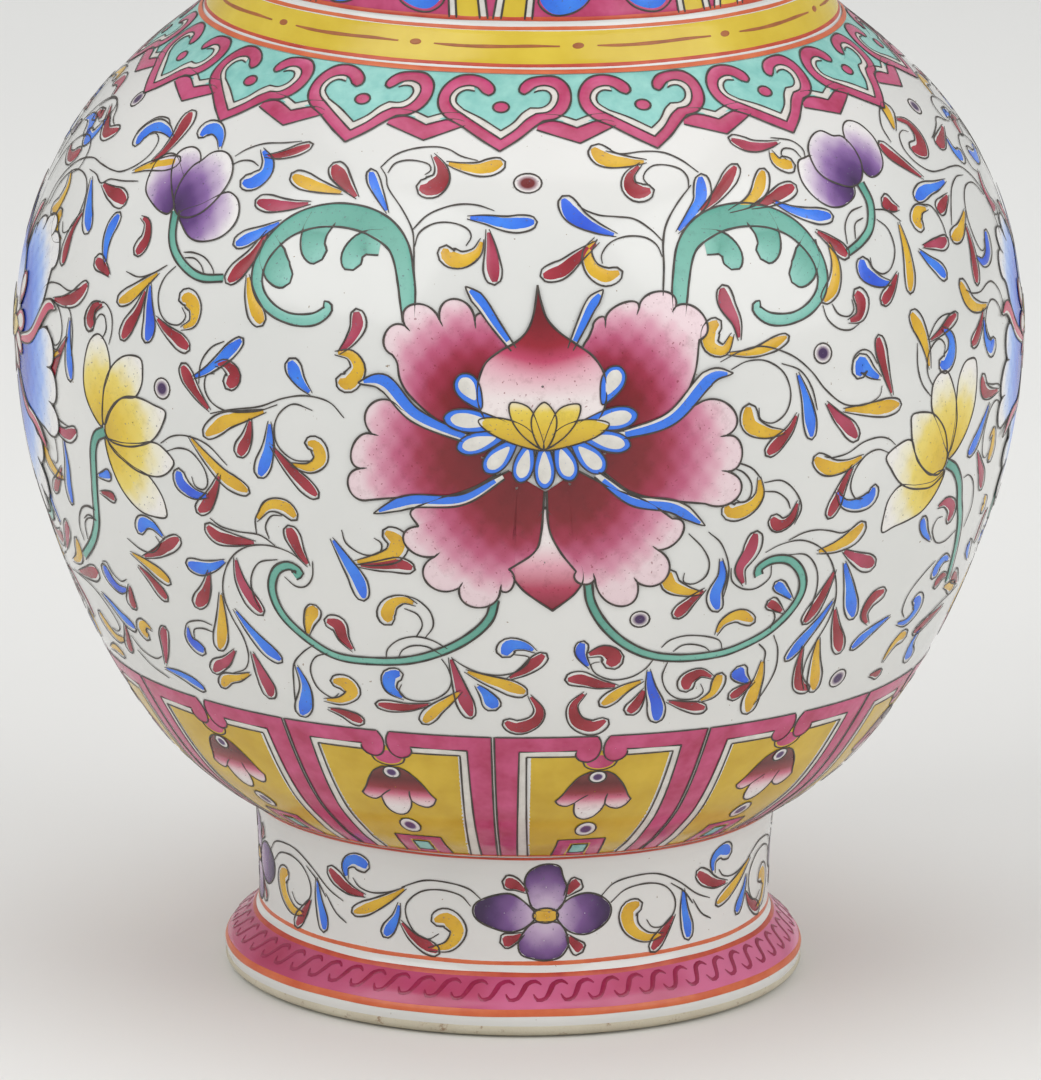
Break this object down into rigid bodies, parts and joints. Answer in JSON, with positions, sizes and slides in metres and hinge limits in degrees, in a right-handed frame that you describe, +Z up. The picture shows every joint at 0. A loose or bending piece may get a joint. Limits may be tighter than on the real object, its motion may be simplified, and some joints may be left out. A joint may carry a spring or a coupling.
{
  "type": "porcelain vase",
  "caption": "Globular porcelain vase on a waisted foot, with a banded shoulder, a broad neck and a flared open mouth.",
  "frame": {"origin": "centre of the foot's underside, on the plane that the vase stands on", "axes": "+Z up along the vase's axis, towards the mouth; -Y towards the front of the painting"},
  "size_m": [0.245, 0.245, 0.357],
  "materials": {
    "white_glaze": "glossy white glaze",
    "foot_glaze": "glazed wall with a bare biscuit edge",
    "inner_glaze": "glossy turquoise glaze",
    "yellow_enamel": "glossy yellow enamel",
    "pink_enamel": "glossy rose enamel"
  },
  "bodies": {
    "root": {"foot_ring": "foot_glaze", "base_disc": "inner_glaze", "lower_body": "white_glaze", "upper_body": "white_glaze", "neck_collar": "yellow_enamel", "neck": "pink_enamel", "mouth_rim": "yellow_enamel"}
  },
  "joints": []
}
